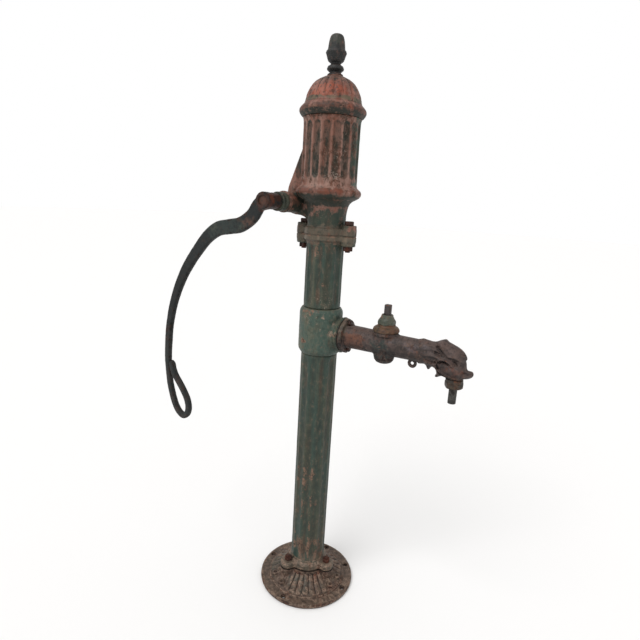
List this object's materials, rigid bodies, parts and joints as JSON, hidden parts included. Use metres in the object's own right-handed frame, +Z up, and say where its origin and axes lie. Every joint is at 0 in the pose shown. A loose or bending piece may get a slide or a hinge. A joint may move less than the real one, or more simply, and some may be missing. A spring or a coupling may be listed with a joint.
{
  "type": "hand well pump",
  "caption": "Tall cast-iron hand well pump: fluted column on a round foot, domed head with a side lever, and a spout with a plug cock and a beast-head outlet.",
  "frame": {"origin": "centre of the foot's underside, on the column's axis, at the middle of the ground bolt circle", "axes": "+Z up the column, +X along the horizontal spout, lever shaft along Y with the handle on the -Y side"},
  "size_m": [0.9105, 0.327, 1.619],
  "materials": {
    "green_paint": "worn dark green paint over cast iron, chipped to primer and rust",
    "red_paint": "worn salmon red paint over cast iron, streaked with green and rust",
    "rust_iron": "rusted cast iron with traces of paint",
    "dark_paint": "dark blue-green paint, worn brown along the edges",
    "black_paint": "near-black green paint, worn",
    "dark_steel": "rusty forged steel",
    "brass": "dull brass",
    "leather": "oiled leather",
    "packing": "greased hemp packing",
    "gasket": "pressed gasket"
  },
  "bodies": {
    "stand": {"base_plate": "rust_iron", "suction_valve_seat": "brass", "suction_valve_cage": "brass", "foot_gasket": "gasket", "lower_column": "green_paint", "foot_studs": "rust_iron", "foot_nuts": "rust_iron", "cylinder_liner": "brass", "spout_tee": "green_paint", "spout_gasket": "gasket", "spout": "rust_iron", "spout_bolts": "rust_iron", "cock_bonnet": "rust_iron", "cock_packing": "packing", "cock_gland_nut": "green_paint", "outlet_bush": "rust_iron", "outlet_nipple": "dark_steel", "upper_column": "green_paint", "rod_guide": "brass", "rod_packing": "packing", "rod_gland_nut": "brass", "neck_gasket": "gasket", "neck_bolts": "rust_iron", "neck_nuts": "rust_iron", "head_casting": "red_paint", "front_bush": "brass", "rear_bush": "brass", "shaft_packing": "packing", "gland_ring": "green_paint", "rear_plug": "rust_iron", "bridge_bar": "rust_iron", "tie_stud": "dark_steel", "tie_nut": "rust_iron", "dome_cap": "red_paint", "finial": "black_paint"},
    "lever": {"lever_shaft": "dark_steel", "crank_fork": "rust_iron", "crank_pin": "dark_steel", "crank_key": "dark_steel", "handle": "dark_paint", "handle_pin": "dark_steel"},
    "rod": {"crosshead": "rust_iron", "rod_lock_nut": "dark_steel", "pump_rod": "dark_steel", "piston_body": "brass", "piston_cup": "leather", "cup_clamp": "brass", "piston_nut": "brass", "valve_stop_nut": "brass"},
    "piston_valve": {"piston_valve": "brass"},
    "suction_valve": {"suction_valve": "brass"},
    "cock": {"cock_plug": "dark_steel"}
  },
  "joints": [
    {"name": "lever_hinge", "type": "hinge", "parent": "stand", "child": "lever", "pos_m": [-0.09, 0, 1.195], "axis": [0, 1, 0], "range_deg": [0, 60]},
    {"name": "rod_slide", "type": "slide", "parent": "stand", "child": "rod", "axis": [0, 0, 1], "range_m": [-0.09, 0]},
    {"name": "piston_valve_lift", "type": "slide", "parent": "rod", "child": "piston_valve", "axis": [0, 0, 1], "range_m": [0, 0.008]},
    {"name": "suction_valve_lift", "type": "slide", "parent": "stand", "child": "suction_valve", "axis": [0, 0, 1], "range_m": [0, 0.008]},
    {"name": "cock_turn", "type": "hinge", "parent": "stand", "child": "cock", "pos_m": [0.205, 0, 0.836], "axis": [0, 0, 1], "range_deg": [0, 90]}
  ],
  "couplings": [
    {"joint": "rod_slide", "follows": "lever_hinge", "m_per_rad": -0.0859}
  ]
}
